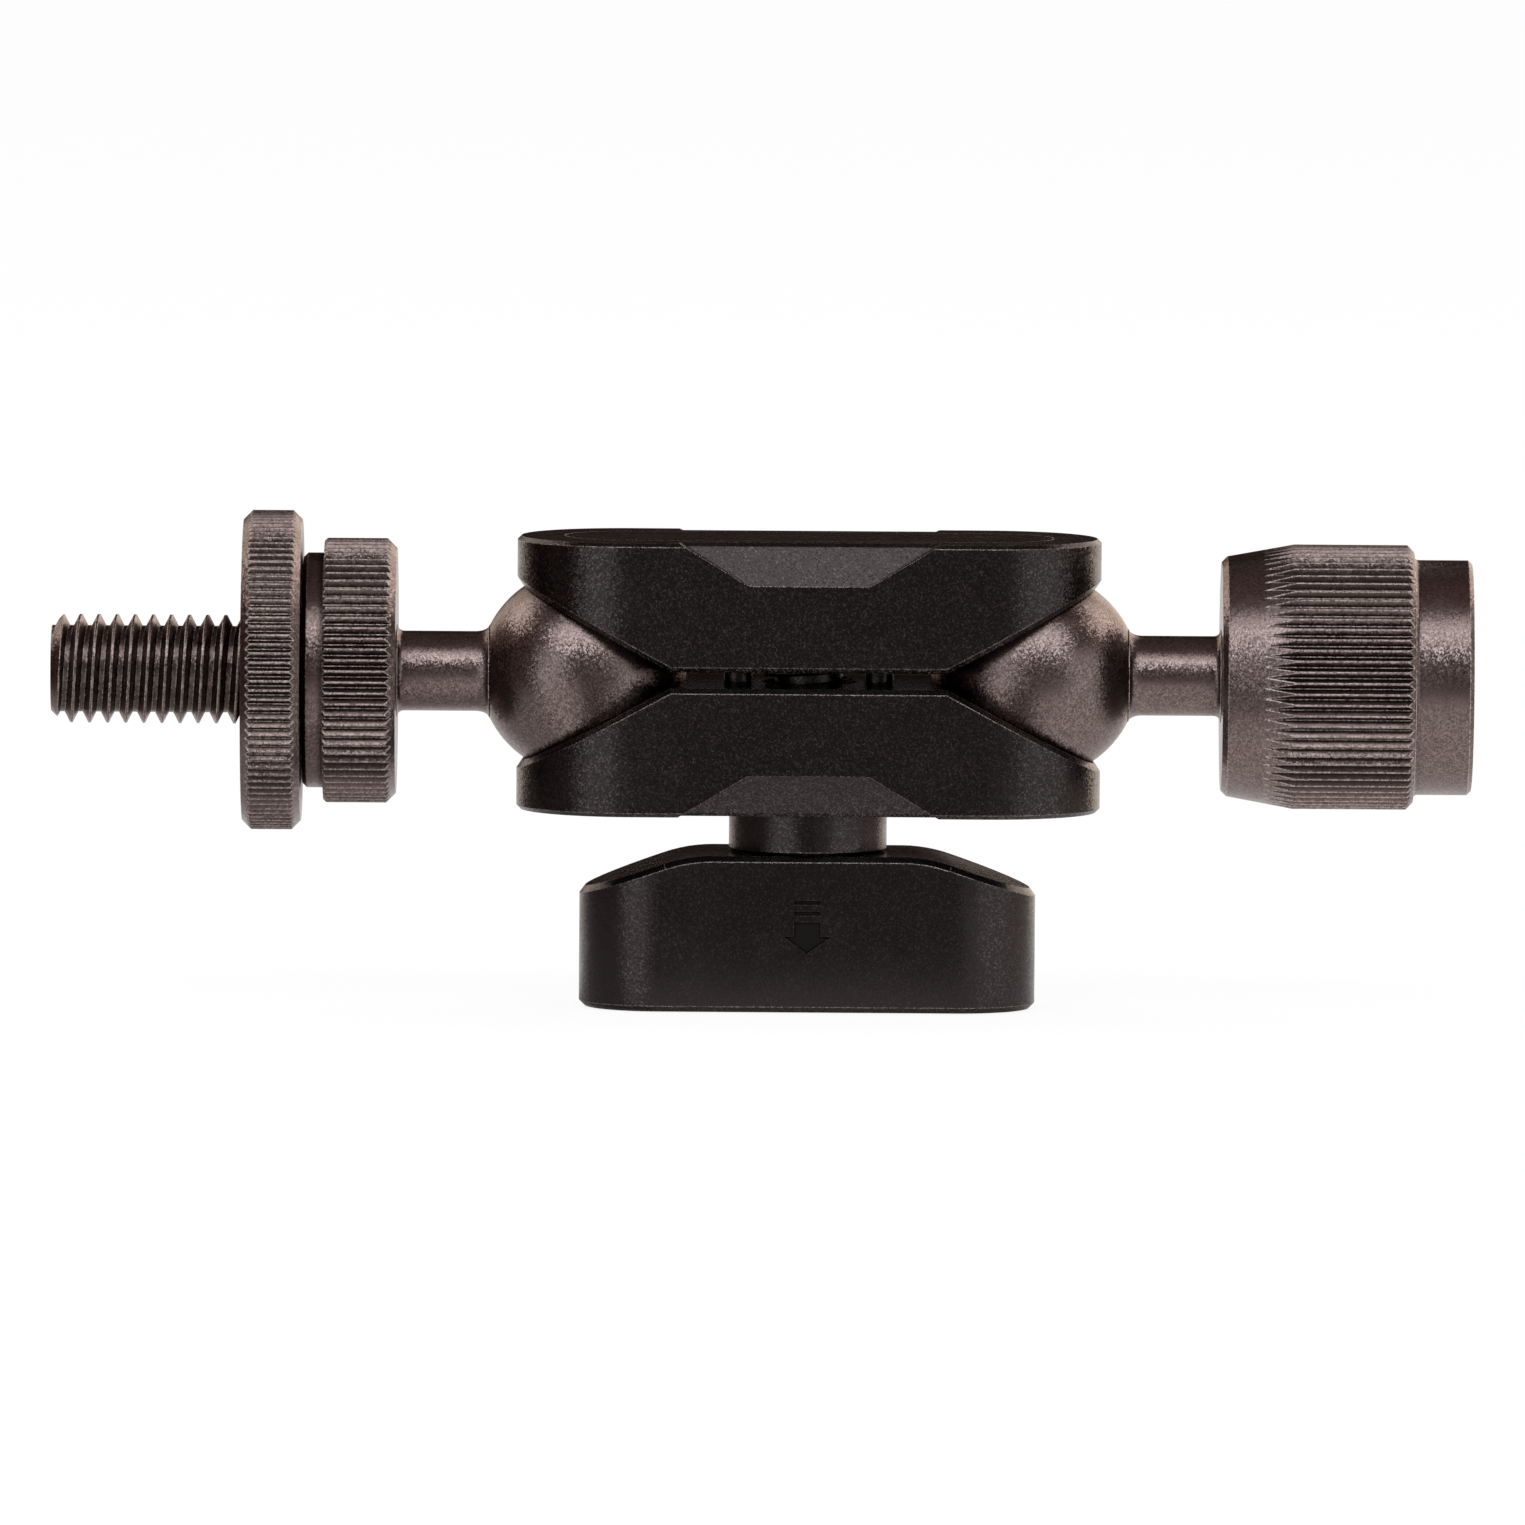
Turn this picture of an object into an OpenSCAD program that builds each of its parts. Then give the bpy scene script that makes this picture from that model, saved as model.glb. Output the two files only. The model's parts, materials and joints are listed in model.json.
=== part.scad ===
// Double-ball friction arm. Two jaws grip two ball studs, and one handle locks both.
// Frame: +Z up along the clamp bolt, +X towards the knurled barrel, millimetres.
// The origin is the middle of the arm's length, on the surface that its handle stands on.

/* [Balls and necks] */
// Diameter of both balls
ball_d = 18.2; // [17:0.1:20]
// Radial room of a ball in its seats
ball_room = 0.06; // [0.04:0.01:0.15]
// Diameter of both necks
neck_d = 7; // [6:0.1:7.6]
// Length of a neck from the ball's pole to the hub
neck_l = 7.15; // [6.5:0.05:10]
// Size of the cone at each end of a neck
neck_cone = 0.6; // [0.3:0.05:0.8]
// Diameter of the shank that a hub turns on
shank_d = 5; // [4:0.1:6]
// Length of that shank
shank_l = 4; // [3:0.1:4.4]
// Radial room of every shaft that turns or slides in a bore
run_room = 0.05; // [0.03:0.01:0.08]
// Free space between faces that pass each other
face_room = 0.05; // [0.05:0.01:0.15]

/* [Jaws] */
// Wall of the jaws in front of and behind a ball
jaw_wall = 0.9; // [0.7:0.1:2]
// Height of the jaws above and below a ball
jaw_cap = 2.9; // [2.5:0.1:5]
// Length of the jaws past a ball's centre
jaw_past_ball = 5.75; // [5:0.05:7]
// Gap between the clamped jaws
jaw_gap = 1.4; // [1.2:0.1:2]
// Chamfer along the outer edges
edge_chamfer = 0.35; // [0.15:0.05:0.6]
// Chamfer along the gap and along the mouths
gap_chamfer = 0.45; // [0.15:0.05:0.6]
// Slope of a mouth's faces from the middle plane, in degrees
mouth_angle = 28.2; // [25:0.2:32]
// Room between a mouth's face and a neck that lies along it
mouth_room = 0.8; // [0.8:0.01:1.3]
// Chamfer where a mouth meets the end of a jaw
mouth_chamfer = 0.6; // [0.3:0.1:0.9]

/* [Facets] */
// Width of a facet at the outer edge of its jaw
facet_w = 22.8; // [18:0.2:26]
// Height of a facet
facet_h = 3.7; // [3:0.1:4.5]
// Depth of a facet where it meets the chamfer at its jaw's outer edge
facet_depth = 2; // [1.5:0.1:2.6]
// Slope of a facet's sides, in degrees
facet_angle = 31; // [28:1:40]
// Radius of a facet's inner corners
facet_corner_r = 1.5; // [0.5:0.1:2]

/* [Top plate] */
// Margin of the jaw's top around the plate
plate_margin = 4.1; // [3.8:0.1:4.2]
// Thickness of the plate
plate_t = 1.2; // [0.8:0.1:1.4]
// Seam around the plate
plate_seam = 0.1; // [0.05:0.01:0.15]

/* [Clamp screw] */
// Diameter of the clamp bolt
bolt_d = 6; // [5:0.1:6.4]
// Width of the bolt's hexagon head across its flats
bolt_head_w = 10; // [9:0.1:10.4]
// Height of the bolt's head
bolt_head_h = 3.5; // [3:0.1:3.8]
// Length of the bolt inside the clamp nut
bolt_grip_l = 4.2; // [3.5:0.1:4.4]
// Diameter of the guide pins
pin_d = 2.5; // [2:0.1:3]
// Length of a guide pin inside each jaw
pin_grip_l = 6; // [5:0.1:7]
// Wall between a guide pin and the spring's pocket
pin_wall = 0.65; // [0.4:0.05:1]
// Wall between a guide pin and a ball's seat
web_wall = 3.3; // [2.5:0.05:5]

/* [Springs] */
// Wire of the spring that opens the jaws
jaw_spring_wire = 0.7; // [0.5:0.05:0.8]
// Turns of the spring that opens the jaws
jaw_spring_turns = 5; // [4:1:6]
// Depth of the jaw spring's pocket in each jaw
spring_pocket_l = 3; // [2.5:0.1:3.5]
// Wire of the spring that lifts the handle
handle_spring_wire = 0.55; // [0.4:0.05:0.6]
// Turns of the spring that lifts the handle
handle_spring_turns = 3.5; // [3:0.5:4]
// Radial room around both springs
spring_room = 0.3; // [0.25:0.05:0.4]

/* [Clamp nut and spline] */
// Height of the collar that shows below the jaws
collar_h = 3.4; // [2.5:0.1:6]
// Inset of the collar from the handle's front and back
collar_inset = 0.075; // [0.05:0.005:0.2]
// Chamfer at the collar's lower edge
collar_chamfer = 0.2; // [0.1:0.05:0.4]
// Free space between the collar and the handle
collar_gap = 0.15; // [0.1:0.05:0.3]
// Wall of the nut around its thread
nut_wall = 1.85; // [1.5:0.05:2.5]
// Teeth of the spline
spline_teeth = 24; // [16:1:30]
// Height of a spline tooth
spline_tooth_h = 0.6; // [0.4:0.05:0.8]
// Length of the spline
spline_l = 2.5; // [2:0.1:2.8]
// Radial room between the two halves of the spline
spline_room = 0.15; // [0.12:0.01:0.2]
// Wall of the splined insert around its teeth
insert_wall = 0.55; // [0.4:0.05:0.8]
// Diameter of the thrust washer
washer_d = 12; // [11:0.1:13]
// Thickness of the thrust washer
washer_t = 0.85; // [0.6:0.05:1.2]

/* [Handle] */
// Length of the handle over both rounded ends
handle_l = 40; // [34:0.5:50]
// Height of the handle at its middle
handle_h = 13.7; // [13:0.1:18]
// Wall of the handle around the splined insert
handle_wall = 0.8; // [0.6:0.05:2]
// Length of the flat on top of the handle
handle_flat_l = 16.6; // [14:0.2:18]
// Radius of the shoulders beside that flat
handle_shoulder_r = 13; // [10:0.5:13.5]
// Slope of the handle's wings, in degrees
handle_slope = 19; // [10:0.5:20]
// Chamfer along the handle's lower edge
handle_chamfer = 0.5; // [0.2:0.05:0.8]
// Chamfer along the handle's upper edge
handle_top_chamfer = 0.5; // [0.2:0.05:0.6]
// How far the handle can be pulled down
handle_pull = 3; // [2.6:0.1:3.2]
// Floor of the handle between the insert and the spring
handle_floor_t = 1.2; // [0.8:0.1:1.5]
// Depth of the engraved arrow
arrow_depth = 0.12; // [0.05:0.01:0.3]
// Distance of the arrow's upper bar from the top of the handle
arrow_drop = 3.84; // [3:0.02:5]
// Height of the arrow's bars
arrow_bar_h = 0.35; // [0.2:0.05:0.5]
// Step from bar to bar and from the lower bar to the shaft
arrow_step = 0.95; // [0.8:0.05:1.2]
// Height of the arrow's shaft
arrow_shaft_h = 1.25; // [0.8:0.05:2]
// Height of the arrow's head
arrow_head_h = 1.5; // [1:0.05:2]
// Width of the arrow's head
arrow_w = 4.1; // [3:0.1:5]
// Width of the arrow's shaft and of the bars above it
arrow_shaft_w = 2.3; // [1.5:0.1:2.8]

/* [Retaining screw] */
// Diameter of the retaining screw
screw_d = 4; // [3:0.1:4.4]
// Length of the retaining screw inside the clamp nut
screw_grip_l = 3; // [2.5:0.1:3.2]
// Diameter of the retaining screw's head
screw_head_d = 8.4; // [7.6:0.1:9]
// Height of the retaining screw's head
screw_head_h = 1.8; // [1.4:0.1:2]
// Depth of the screw's head above the handle's bottom
screw_sink = 0.3; // [0.2:0.05:0.5]
// Width of the hexagon socket in the screw's head
screw_socket_w = 2.5; // [2:0.1:3]

/* [Threaded stud] */
// Web of the hub between the neck's shank and the threaded stud
stud_web = 0.4; // [0.3:0.05:0.6]
// Outer diameter of the 3/8 inch thread
thread_d = 9.525; // [8:0.005:10]
// Pitch of the thread, 16 turns to the inch
thread_pitch = 1.5875; // [1.25:0.0005:1.6]
// Depth of the thread
thread_depth = 0.97; // [0.7:0.01:1]
// Relief of the stud where the hub and the lock wheel sit on it
thread_relief = 0.25; // [0.2:0.01:0.4]
// Length of the thread past the lock wheel
thread_l = 16.8; // [14:0.1:24]
// Chamfer at the tip of the thread
thread_chamfer = 1.05; // [0.5:0.05:1.2]
// Diameter of the knurled hub ring
hub_d = 23.2; // [21.6:0.1:27]
// Width of the hub ring
hub_w = 6.35; // [5.5:0.05:8]
// Chamfer of the hub ring on the ball's side
hub_chamfer = 0.85; // [0.5:0.05:1]
// Chamfer of the hub ring on the wheel's side
hub_back_chamfer = 0.25; // [0.1:0.05:0.4]
// Diameter of the shoulder and of the nose ring
shoulder_d = 20.6; // [19:0.1:21]
// Width of the shoulder
shoulder_w = 1.85; // [1.5:0.05:3]
// Chamfer of the shoulder
shoulder_chamfer = 0.4; // [0.2:0.05:0.6]
// Teeth of the straight knurl on the hub ring and the barrel
knurl_teeth = 75; // [60:1:90]
// Depth of that knurl
knurl_depth = 0.5; // [0.3:0.02:0.6]
// Width of the flat that is left on a knurl tooth
knurl_flat = 0.12; // [0.05:0.01:0.2]

/* [Lock wheel] */
// Diameter of the lock wheel
wheel_d = 28; // [26:0.1:34]
// Width of the lock wheel
wheel_w = 5.15; // [4.5:0.05:6]
// Chamfer of the lock wheel
wheel_chamfer = 0.8; // [0.5:0.05:1.1]
// Space between the lock wheel and the shoulder
wheel_gap = 0.12; // [0.1:0.01:0.5]
// Teeth of the lock wheel's knurl
wheel_teeth = 108; // [90:1:120]
// Depth of the lock wheel's knurl
wheel_knurl_depth = 0.36; // [0.2:0.02:0.45]
// Wall of the wheel's threaded core
core_wall = 2.2; // [1.8:0.1:3]
// Chamfer at both ends of the core's bore
core_chamfer = 0.6; // [0.3:0.05:1]

/* [Barrel] */
// Diameter of the barrel
barrel_d = 23.2; // [22:0.1:27]
// Diameter of the barrel at the small end of its taper
barrel_small_d = 21.06; // [20:0.02:21.5]
// Length of the taper
barrel_taper_l = 5.85; // [5:0.05:8]
// Length of the barrel's straight part
barrel_l = 9.9; // [8:0.1:14]
// Chamfer at the small end
barrel_lip = 0.5; // [0.3:0.05:0.8]
// Chamfer at the nose end
barrel_chamfer = 0.6; // [0.3:0.05:0.8]
// Length of the nose ring
nose_l = 5.1; // [4:0.1:8]
// Chamfer at the nose ring's end
nose_chamfer = 0.35; // [0.2:0.05:0.6]
// Cone where the nose ring meets the barrel
nose_cone = 0.4; // [0.2:0.05:0.45]
// Diameter of the nose's stem inside the barrel
nose_stem_d = 14; // [12.5:0.1:16]
// Length of the nose's stem inside the barrel
nose_stem_l = 10; // [9.5:0.1:10.5]
// Inner diameter of the threaded socket
socket_d = 7.94; // [7:0.02:8.2]
// Depth of the threaded socket
socket_l = 13; // [11:0.1:13.4]
// Countersink at the socket's mouth
socket_chamfer = 0.8; // [0.4:0.05:1]

/* [Hidden] */
$fn = 96;

// Overshoot of a cut past the face that it opens
over = 0.5;

// Radii
ball_r = ball_d / 2;
neck_r = neck_d / 2;
shank_r = shank_d / 2;
bolt_r = bolt_d / 2;
pin_r = pin_d / 2;
screw_r = screw_d / 2;
thread_r = thread_d / 2;
shoulder_r = shoulder_d / 2;
core_r = thread_r + run_room + core_wall;

// Places along the jaws, from the bolt outwards
jaw_spring_r = bolt_r + spring_room + jaw_spring_wire / 2;
spring_pocket_r = jaw_spring_r + jaw_spring_wire / 2 + spring_room;
pin_x = spring_pocket_r + pin_wall + pin_r;
ball_x = pin_x + pin_r + web_wall + ball_r;
mouth_apex_x = ball_x - (neck_r + mouth_room) / sin(mouth_angle);

// Sizes of the jaws
body_l = 2 * (ball_x + jaw_past_ball);
body_d = ball_d + 2 * jaw_wall;
body_h = ball_d + 2 * jaw_cap;
jaw_h = (body_h - jaw_gap) / 2;
facet_inner_w = facet_w - 2 * facet_h / tan(facet_angle);
plate_l = body_l - 2 * plate_margin;
plate_d = body_d - 2 * plate_margin;
bolt_head_r = bolt_head_w / 2 / cos(30);

// Sizes of the spline and of the handle, from the bolt outwards
spline_root_r = bolt_r + run_room + nut_wall;
spline_tip_r = spline_root_r + spline_tooth_h;
insert_r = spline_tip_r + spline_room + insert_wall;
handle_d = 2 * (insert_r + handle_wall);
collar_r = handle_d / 2 - collar_inset;
screw_head_r = screw_head_d / 2;
handle_spring_r = screw_r + spring_room + handle_spring_wire / 2;
handle_spring_l = handle_pull + (handle_spring_turns + 1) * handle_spring_wire;

// Heights, from the handle's bottom upwards
screw_head_top_z = screw_sink + screw_head_h;
floor_z = screw_head_top_z + handle_spring_l;
insert_z = floor_z + handle_floor_t;
collar_z = handle_h + collar_gap;
collar_top_z = collar_z + collar_h;
jaw_z = collar_top_z + face_room;
axis_z = jaw_z + body_h / 2;
bolt_end_z = collar_top_z - bolt_grip_l;

// Places along a stud, from its ball's centre outwards
hub_u = ball_r + neck_l;
hub_face_u = hub_u + face_room;
shoulder_u = hub_face_u + hub_w;
shoulder_end_u = shoulder_u + shoulder_w;
wheel_u = shoulder_end_u + wheel_gap;
thread_end_u = wheel_u + wheel_w + thread_l;
thread_start_u = hub_u + shank_l + stud_web;
barrel_end_u = hub_face_u + barrel_lip + barrel_taper_l + barrel_l + barrel_chamfer;
nose_end_u = barrel_end_u + nose_l;

// Place of the clamp bolt's axis, with the origin midway between the two ends of the arm
clamp_x = (thread_end_u - nose_end_u) / 2;

// Colours
black = "#2b292a";
bronze = "#6f6059";
steel = "#9c9a97";
brass = "#b08d4f";

// A block with round ends along X, chamfered along its lower and upper edges
module stadium_block(l, d, h, low_chamfer, high_chamfer) {
    r = d / 2;
    half = [[0, 0], [r - low_chamfer, 0], [r, low_chamfer],
        [r, h - high_chamfer], [r - high_chamfer, h], [0, h]];
    both_ends()
        translate([(d - l) / 2, 0, 0])
            rotate_extrude() polygon(half);
    for (side = [0, 1])
        mirror([0, side, 0])
            rotate([90, 0, 90])
                linear_extrude(l - d, center = true) polygon(half);
}

// A plain block with round ends along X
module stadium_prism(l, d, h) {
    for (side = [-1, 1])
        translate([side * (l - d) / 2, 0, 0]) cylinder(d = d, h = h);
    translate([-(l - d) / 2, -d / 2, 0]) cube([l - d, d, h]);
}

// Cuts a chamfer along the lower edge of a round end at +X and along the straight run before it
module edge_cutter(r, chamfer, run_l) {
    corner = [[r - chamfer - over, -over], [r + over, chamfer + over], [r + over, -over]];
    rotate([0, 0, -90]) rotate_extrude(angle = 180, $fn = 64) polygon(corner);
    for (side = [0, 1])
        mirror([0, side, 0])
            rotate([90, 0, 90])
                translate([0, 0, -run_l]) linear_extrude(run_l) polygon(corner);
}

// Lifts its children in step with X, so that a level plane at x0 and z0 gets a slope
module slope_from(x0, z0, angle) {
    rise = tan(angle);
    multmatrix([[1, 0, 0, 0], [0, 1, 0, 0], [rise, 0, 1, z0 - rise * x0], [0, 0, 0, 1]]) children();
}

// A toothed prism whose teeth are cut to flats by the round piece of radius r that it is crossed with
module knurl_prism(r, teeth, depth, flat, l) {
    share = flat / (2 * PI * r / teeth);
    tip_r = r + depth * share / (1 - share);
    step = 180 / teeth;
    linear_extrude(l)
        polygon([for (i = [0 : 2 * teeth - 1])
            let (radius = i % 2 == 0 ? tip_r : r - depth)
            [radius * cos(i * step), radius * sin(i * step)]]);
}

// A star of equal teeth between two radii
module spline_star(root_r, tip_r, l) {
    step = 180 / spline_teeth;
    linear_extrude(l)
        polygon([for (i = [0 : 2 * spline_teeth - 1])
            let (radius = i % 2 == 0 ? tip_r : root_r)
            [radius * cos(i * step), radius * sin(i * step)]]);
}

// Places its children, made around the clamp bolt's axis, on the clamp
module on_clamp() translate([clamp_x, 0, 0]) children();

// Places its children, made along +Z from a ball's centre, on the left or the right stud
module on_left() on_clamp() translate([-ball_x, 0, axis_z]) rotate([0, -90, 0]) children();
module on_right() on_clamp() translate([ball_x, 0, axis_z]) rotate([0, 90, 0]) children();

// Points of a coil's wire: rings of six points along a helix
coil_rings = 8;
coil_sides = 6;

function coil_centre(i, r, rise, turns) =
    let (turn = i / coil_rings)
    [r * cos(360 * turn), r * sin(360 * turn), rise * turn / turns];

function coil_point(i, j, r, wire, rise, turns) =
    let (turn = 360 * i / coil_rings, side = 360 * j / coil_sides, out = wire / 2 * cos(side))
    coil_centre(i, r, rise, turns) + [out * cos(turn), out * sin(turn), wire / 2 * sin(side)];

// Least gap between the wire and itself, measured between ring centres that lie over half a turn apart
function coil_self_gap(r, wire, rise, turns) =
    let (last = floor(turns * coil_rings))
    min([for (i = [0 : last]) for (j = [i + coil_rings / 2 : last])
        norm(coil_centre(i, r, rise, turns) - coil_centre(j, r, rise, turns)) - wire]);

// A coil spring of one unbroken wire, standing on z = 0
module coil_spring(r, wire, l, turns) {
    rise = l - wire;
    last = floor(turns * coil_rings);
    points = [for (i = [0 : last]) for (j = [0 : coil_sides - 1]) coil_point(i, j, r, wire, rise, turns)];
    sides = [for (i = [0 : last - 1]) for (j = [0 : coil_sides - 1])
        let (a = i * coil_sides + j, b = i * coil_sides + (j + 1) % coil_sides)
        each [[a, b, b + coil_sides], [a, b + coil_sides, a + coil_sides]]];
    first_cap = [for (j = [1 : coil_sides - 2]) [0, j + 1, j]];
    end = last * coil_sides;
    last_cap = [for (j = [1 : coil_sides - 2]) [end, end + j, end + j + 1]];
    translate([0, 0, wire / 2]) polyhedron(points, concat(sides, first_cap, last_cap));
    echo(str("least gap of the coil to itself, mm: ", coil_self_gap(r, wire, rise, turns)));
}

// The V-shaped mouth at +X, which lets a neck tilt, with a chamfer at the jaw's end
module mouth_cut() {
    corner_x = body_l / 2 - mouth_chamfer;
    corner_z = (corner_x - mouth_apex_x) * tan(mouth_angle);
    far = mouth_chamfer + over;
    rotate([90, 0, 0])
        linear_extrude(body_d + 2 * over, center = true)
            polygon([[mouth_apex_x, 0], [corner_x, corner_z], [corner_x + far, corner_z + far],
                [corner_x + far, -corner_z - far], [corner_x, -corner_z]]);
}

// The chamfer along the upper mouth face's edges at +X: a corner swept along the front, round the end and back
module mouth_edge_cut() {
    r = body_d / 2;
    end_x = (body_l - body_d) / 2;
    steps = 24;
    corner = [[r - gap_chamfer - over, -over], [r + over, gap_chamfer + over], [r + over, -over]];
    round_end = [for (i = [0 : steps]) [end_x, -90 + 180 * i / steps]];
    path = concat([[mouth_apex_x, -90]], round_end, [[mouth_apex_x, 90]]);
    points = [for (stop = path) for (p = corner)
        let (x = stop[0] + p[0] * cos(stop[1]))
        [x, p[0] * sin(stop[1]), p[1] + (x - mouth_apex_x) * tan(mouth_angle)]];
    end = 3 * (len(path) - 1);
    sides = [for (i = [0 : 3 : end - 3]) for (j = [0 : 2])
        let (a = i + j, b = i + (j + 1) % 3)
        each [[a, b + 3, b], [a, a + 3, b + 3]]];
    polyhedron(points, concat(sides, [[0, 1, 2], [end, end + 2, end + 1]]));
}

// The facet on the front of the upper jaw, cut straight back inside a trapezium with round inner corners
module facet_cut() {
    top = body_h / 2;
    low = top - facet_h;
    turn = facet_angle;
    bend_x = facet_inner_w / 2 - facet_corner_r * tan(turn / 2);
    steps = 6;
    corner = [for (i = [0 : steps]) let (a = -90 + turn * i / steps)
        [bend_x + facet_corner_r * cos(a), low + facet_corner_r * (1 + sin(a))]];
    outer = [facet_w / 2 + over / tan(turn), top + over];
    right = concat(corner, [outer]);
    left = [for (i = [len(right) - 1 : -1 : 0]) [-right[i][0], right[i][1]]];
    front = -body_d / 2;
    back = front + facet_depth + edge_chamfer;
    intersection() {
        rotate([90, 0, 0]) linear_extrude(body_d) polygon(concat(right, left));
        rotate([90, 0, 90])
            linear_extrude(facet_w + 4 * over, center = true)
                polygon([[front - over, low], [front, low], [front + facet_depth, top - edge_chamfer],
                    [back + over, top + over], [front - over, top + over]]);
    }
}

// Its children as they stand, and turned half round to the other end
module both_ends()
    for (turn = [0, 180]) rotate([0, 0, turn]) children();

// One jaw on the balls' plane, as the upper one stands, with the cuts that both jaws share
module jaw() {
    difference() {
        translate([0, 0, jaw_gap / 2]) stadium_block(body_l, body_d, jaw_h, gap_chamfer, edge_chamfer);
        both_ends() mouth_cut();
        both_ends() mouth_edge_cut();
        both_ends() facet_cut();
        both_ends() translate([ball_x, 0, 0]) rotate([90, 0, 0]) sphere(r = ball_r + ball_room);
        cylinder(r = spring_pocket_r, h = jaw_gap / 2 + spring_pocket_l);
        cylinder(r = bolt_r + run_room, h = body_h);
    }
}

module upper_jaw() on_clamp() color(black) {
    plate_z = body_h / 2 - plate_t;
    head_z = plate_z - bolt_head_h;
    translate([0, 0, axis_z])
        difference() {
            jaw();
            translate([0, 0, plate_z]) stadium_prism(plate_l, plate_d, plate_t + over);
            translate([0, 0, head_z]) cylinder(r = bolt_head_r + face_room, h = bolt_head_h + over, $fn = 6);
            for (side = [-1, 1])
                translate([side * pin_x, 0, 0]) cylinder(r = pin_r, h = jaw_gap / 2 + pin_grip_l);
        }
}

module top_plate() on_clamp() color(black)
    translate([0, 0, axis_z + body_h / 2 - plate_t])
        stadium_prism(plate_l - 2 * plate_seam, plate_d - 2 * plate_seam, plate_t);

module clamp_bolt() on_clamp() color(steel) {
    head_z = axis_z + body_h / 2 - plate_t - bolt_head_h;
    translate([0, 0, bolt_end_z]) cylinder(r = bolt_r, h = head_z - bolt_end_z + over);
    translate([0, 0, head_z]) cylinder(r = bolt_head_r, h = bolt_head_h, $fn = 6);
}

// A guide pin, pressed into the upper jaw and sliding in the lower one
module guide_pin(side) on_clamp() color(steel)
    translate([side * pin_x, 0, axis_z])
        cylinder(r = pin_r, h = jaw_gap + 2 * pin_grip_l, center = true);

module guide_pin_left() guide_pin(-1);

module guide_pin_right() guide_pin(1);

module jaw_spring() on_clamp() color(steel)
    translate([0, 0, axis_z - jaw_gap / 2 - spring_pocket_l + face_room])
        coil_spring(jaw_spring_r, jaw_spring_wire,
            jaw_gap + 2 * (spring_pocket_l - face_room), jaw_spring_turns);

module lower_jaw() on_clamp() color(black)
    translate([0, 0, axis_z])
        difference() {
            mirror([0, 0, 1]) jaw();
            translate([0, 0, -body_h / 2 - over])
                cylinder(r = washer_d / 2 + face_room, h = washer_t - face_room + over);
            for (side = [-1, 1])
                translate([side * pin_x, 0, -jaw_gap / 2 - pin_grip_l - face_room])
                    cylinder(r = pin_r + run_room, h = pin_grip_l + 2 * face_room);
        }

module thrust_washer() on_clamp() color(brass)
    translate([0, 0, collar_top_z])
        difference() {
            cylinder(d = washer_d, h = washer_t);
            translate([0, 0, -over]) cylinder(r = bolt_r + spring_room, h = washer_t + 2 * over);
        }

// The collar below the jaws with its splined hub, threaded for the bolt above and the screw below
module clamp_nut() on_clamp() color(black)
    difference() {
        union() {
            rotate_extrude()
                polygon([[0, collar_z], [collar_r - collar_chamfer, collar_z],
                    [collar_r, collar_z + collar_chamfer], [collar_r, collar_top_z], [0, collar_top_z]]);
            translate([0, 0, insert_z]) cylinder(r = spline_root_r - run_room, h = collar_z - insert_z + over);
            translate([0, 0, insert_z]) spline_star(spline_root_r, spline_tip_r, spline_l);
        }
        translate([0, 0, bolt_end_z - face_room])
            cylinder(r = bolt_r + run_room, h = bolt_grip_l + face_room + over);
        translate([0, 0, insert_z - over]) cylinder(r = screw_r, h = screw_grip_l + over);
    }

module retaining_screw() on_clamp() color(steel)
    difference() {
        union() {
            translate([0, 0, screw_sink]) cylinder(r = screw_head_r, h = screw_head_h);
            translate([0, 0, screw_sink]) cylinder(r = screw_r, h = insert_z + screw_grip_l - screw_sink);
        }
        translate([0, 0, screw_sink - over])
            cylinder(r = screw_socket_w / 2 / cos(30), h = screw_head_h / 2 + over, $fn = 6);
    }

module handle_spring() on_clamp() color(steel)
    translate([0, 0, screw_head_top_z + face_room])
        coil_spring(handle_spring_r, handle_spring_wire, handle_spring_l - 2 * face_room, handle_spring_turns);

// The handle seen from the front: a flat top, round shoulders and straight wings
module handle_front() {
    bend_x = handle_flat_l / 2;
    bend_z = handle_h - handle_shoulder_r;
    wing_x = bend_x + handle_shoulder_r * sin(handle_slope);
    wing_z = bend_z + handle_shoulder_r * cos(handle_slope);
    end_x = handle_l / 2 + over;
    end_z = wing_z - (end_x - wing_x) * tan(handle_slope);
    polygon([[-end_x, 0], [end_x, 0], [end_x, end_z], [wing_x, wing_z], [bend_x, handle_h],
        [-bend_x, handle_h], [-wing_x, wing_z], [-end_x, end_z]]);
    for (side = [-1, 1])
        translate([side * bend_x, bend_z]) circle(r = handle_shoulder_r);
}

// The chamfer along the handle's upper edge at +X: along the flat, round the shoulder and down the wing
module handle_edge_cut() {
    r = handle_d / 2;
    bend_x = handle_flat_l / 2;
    wing_x = bend_x + handle_shoulder_r * sin(handle_slope);
    wing_z = handle_h - handle_shoulder_r * (1 - cos(handle_slope));
    end_x = (handle_l - handle_d) / 2;
    chamfer = handle_top_chamfer;
    for (side = [0, 1])
        mirror([0, side, 0]) {
            rotate([90, 0, 90])
                linear_extrude(bend_x)
                    polygon([[r - chamfer - over, handle_h + over], [r + over, handle_h + over],
                        [r + over, handle_h - chamfer - over]]);
            translate([bend_x, 0, handle_h - handle_shoulder_r])
                rotate([90, -90, 180])
                    rotate_extrude(angle = handle_slope)
                        polygon([[handle_shoulder_r - chamfer - over, r + over],
                            [handle_shoulder_r + over, r + over],
                            [handle_shoulder_r + over, r - chamfer - over]]);
        }
    slope_from(wing_x, wing_z, -handle_slope)
        translate([end_x, 0, 0]) mirror([0, 0, 1]) edge_cutter(r, chamfer, end_x - wing_x);
}

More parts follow.
